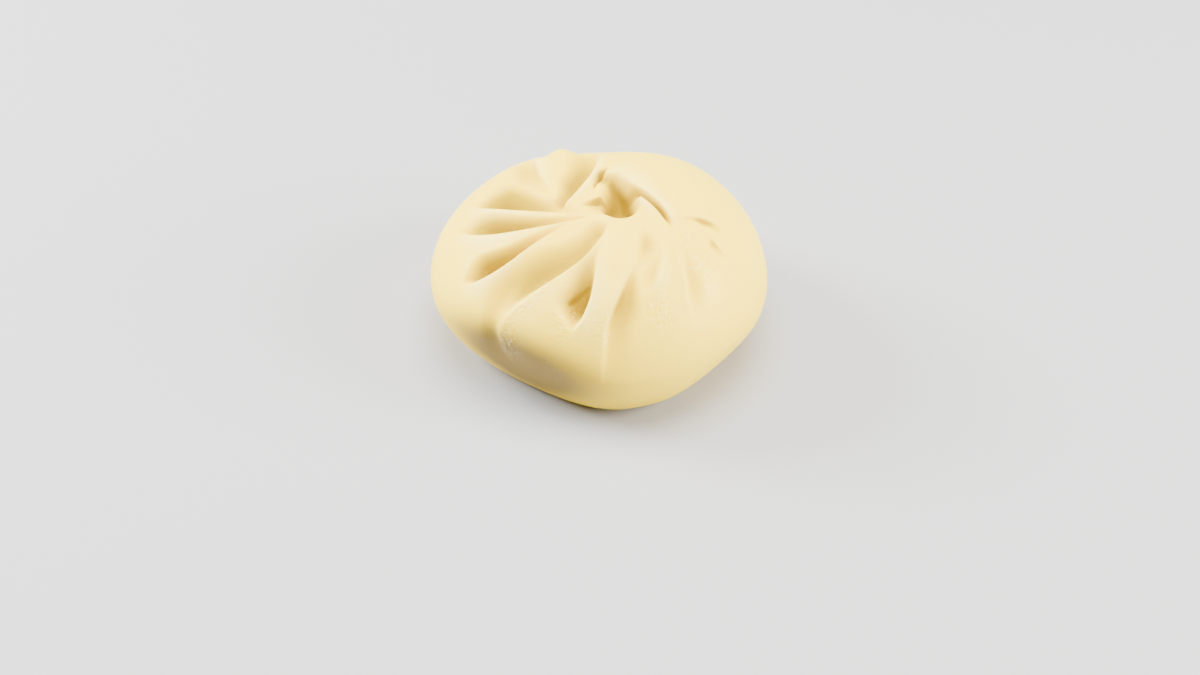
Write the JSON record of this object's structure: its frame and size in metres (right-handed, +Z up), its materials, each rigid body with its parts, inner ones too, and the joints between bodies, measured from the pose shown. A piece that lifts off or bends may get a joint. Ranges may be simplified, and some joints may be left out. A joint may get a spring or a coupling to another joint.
{
  "type": "pork baozi",
  "caption": "Steamed pork bun of soft wheat dough, drawn up into swirling pleats round a deep gathered hollow, standing on its flat sole.",
  "frame": {"origin": "middle of the footprint at the flat sole, on the surface that the bun stands on", "axes": "+Z up; +X to the right and +Y away in the view that shows the deep pleats at the left and front"},
  "size_m": [0.0882, 0.0914, 0.0473],
  "materials": {
    "steamed_dough": null
  },
  "bodies": {
    "root": {"bun_dough": "steamed_dough"}
  },
  "joints": []
}
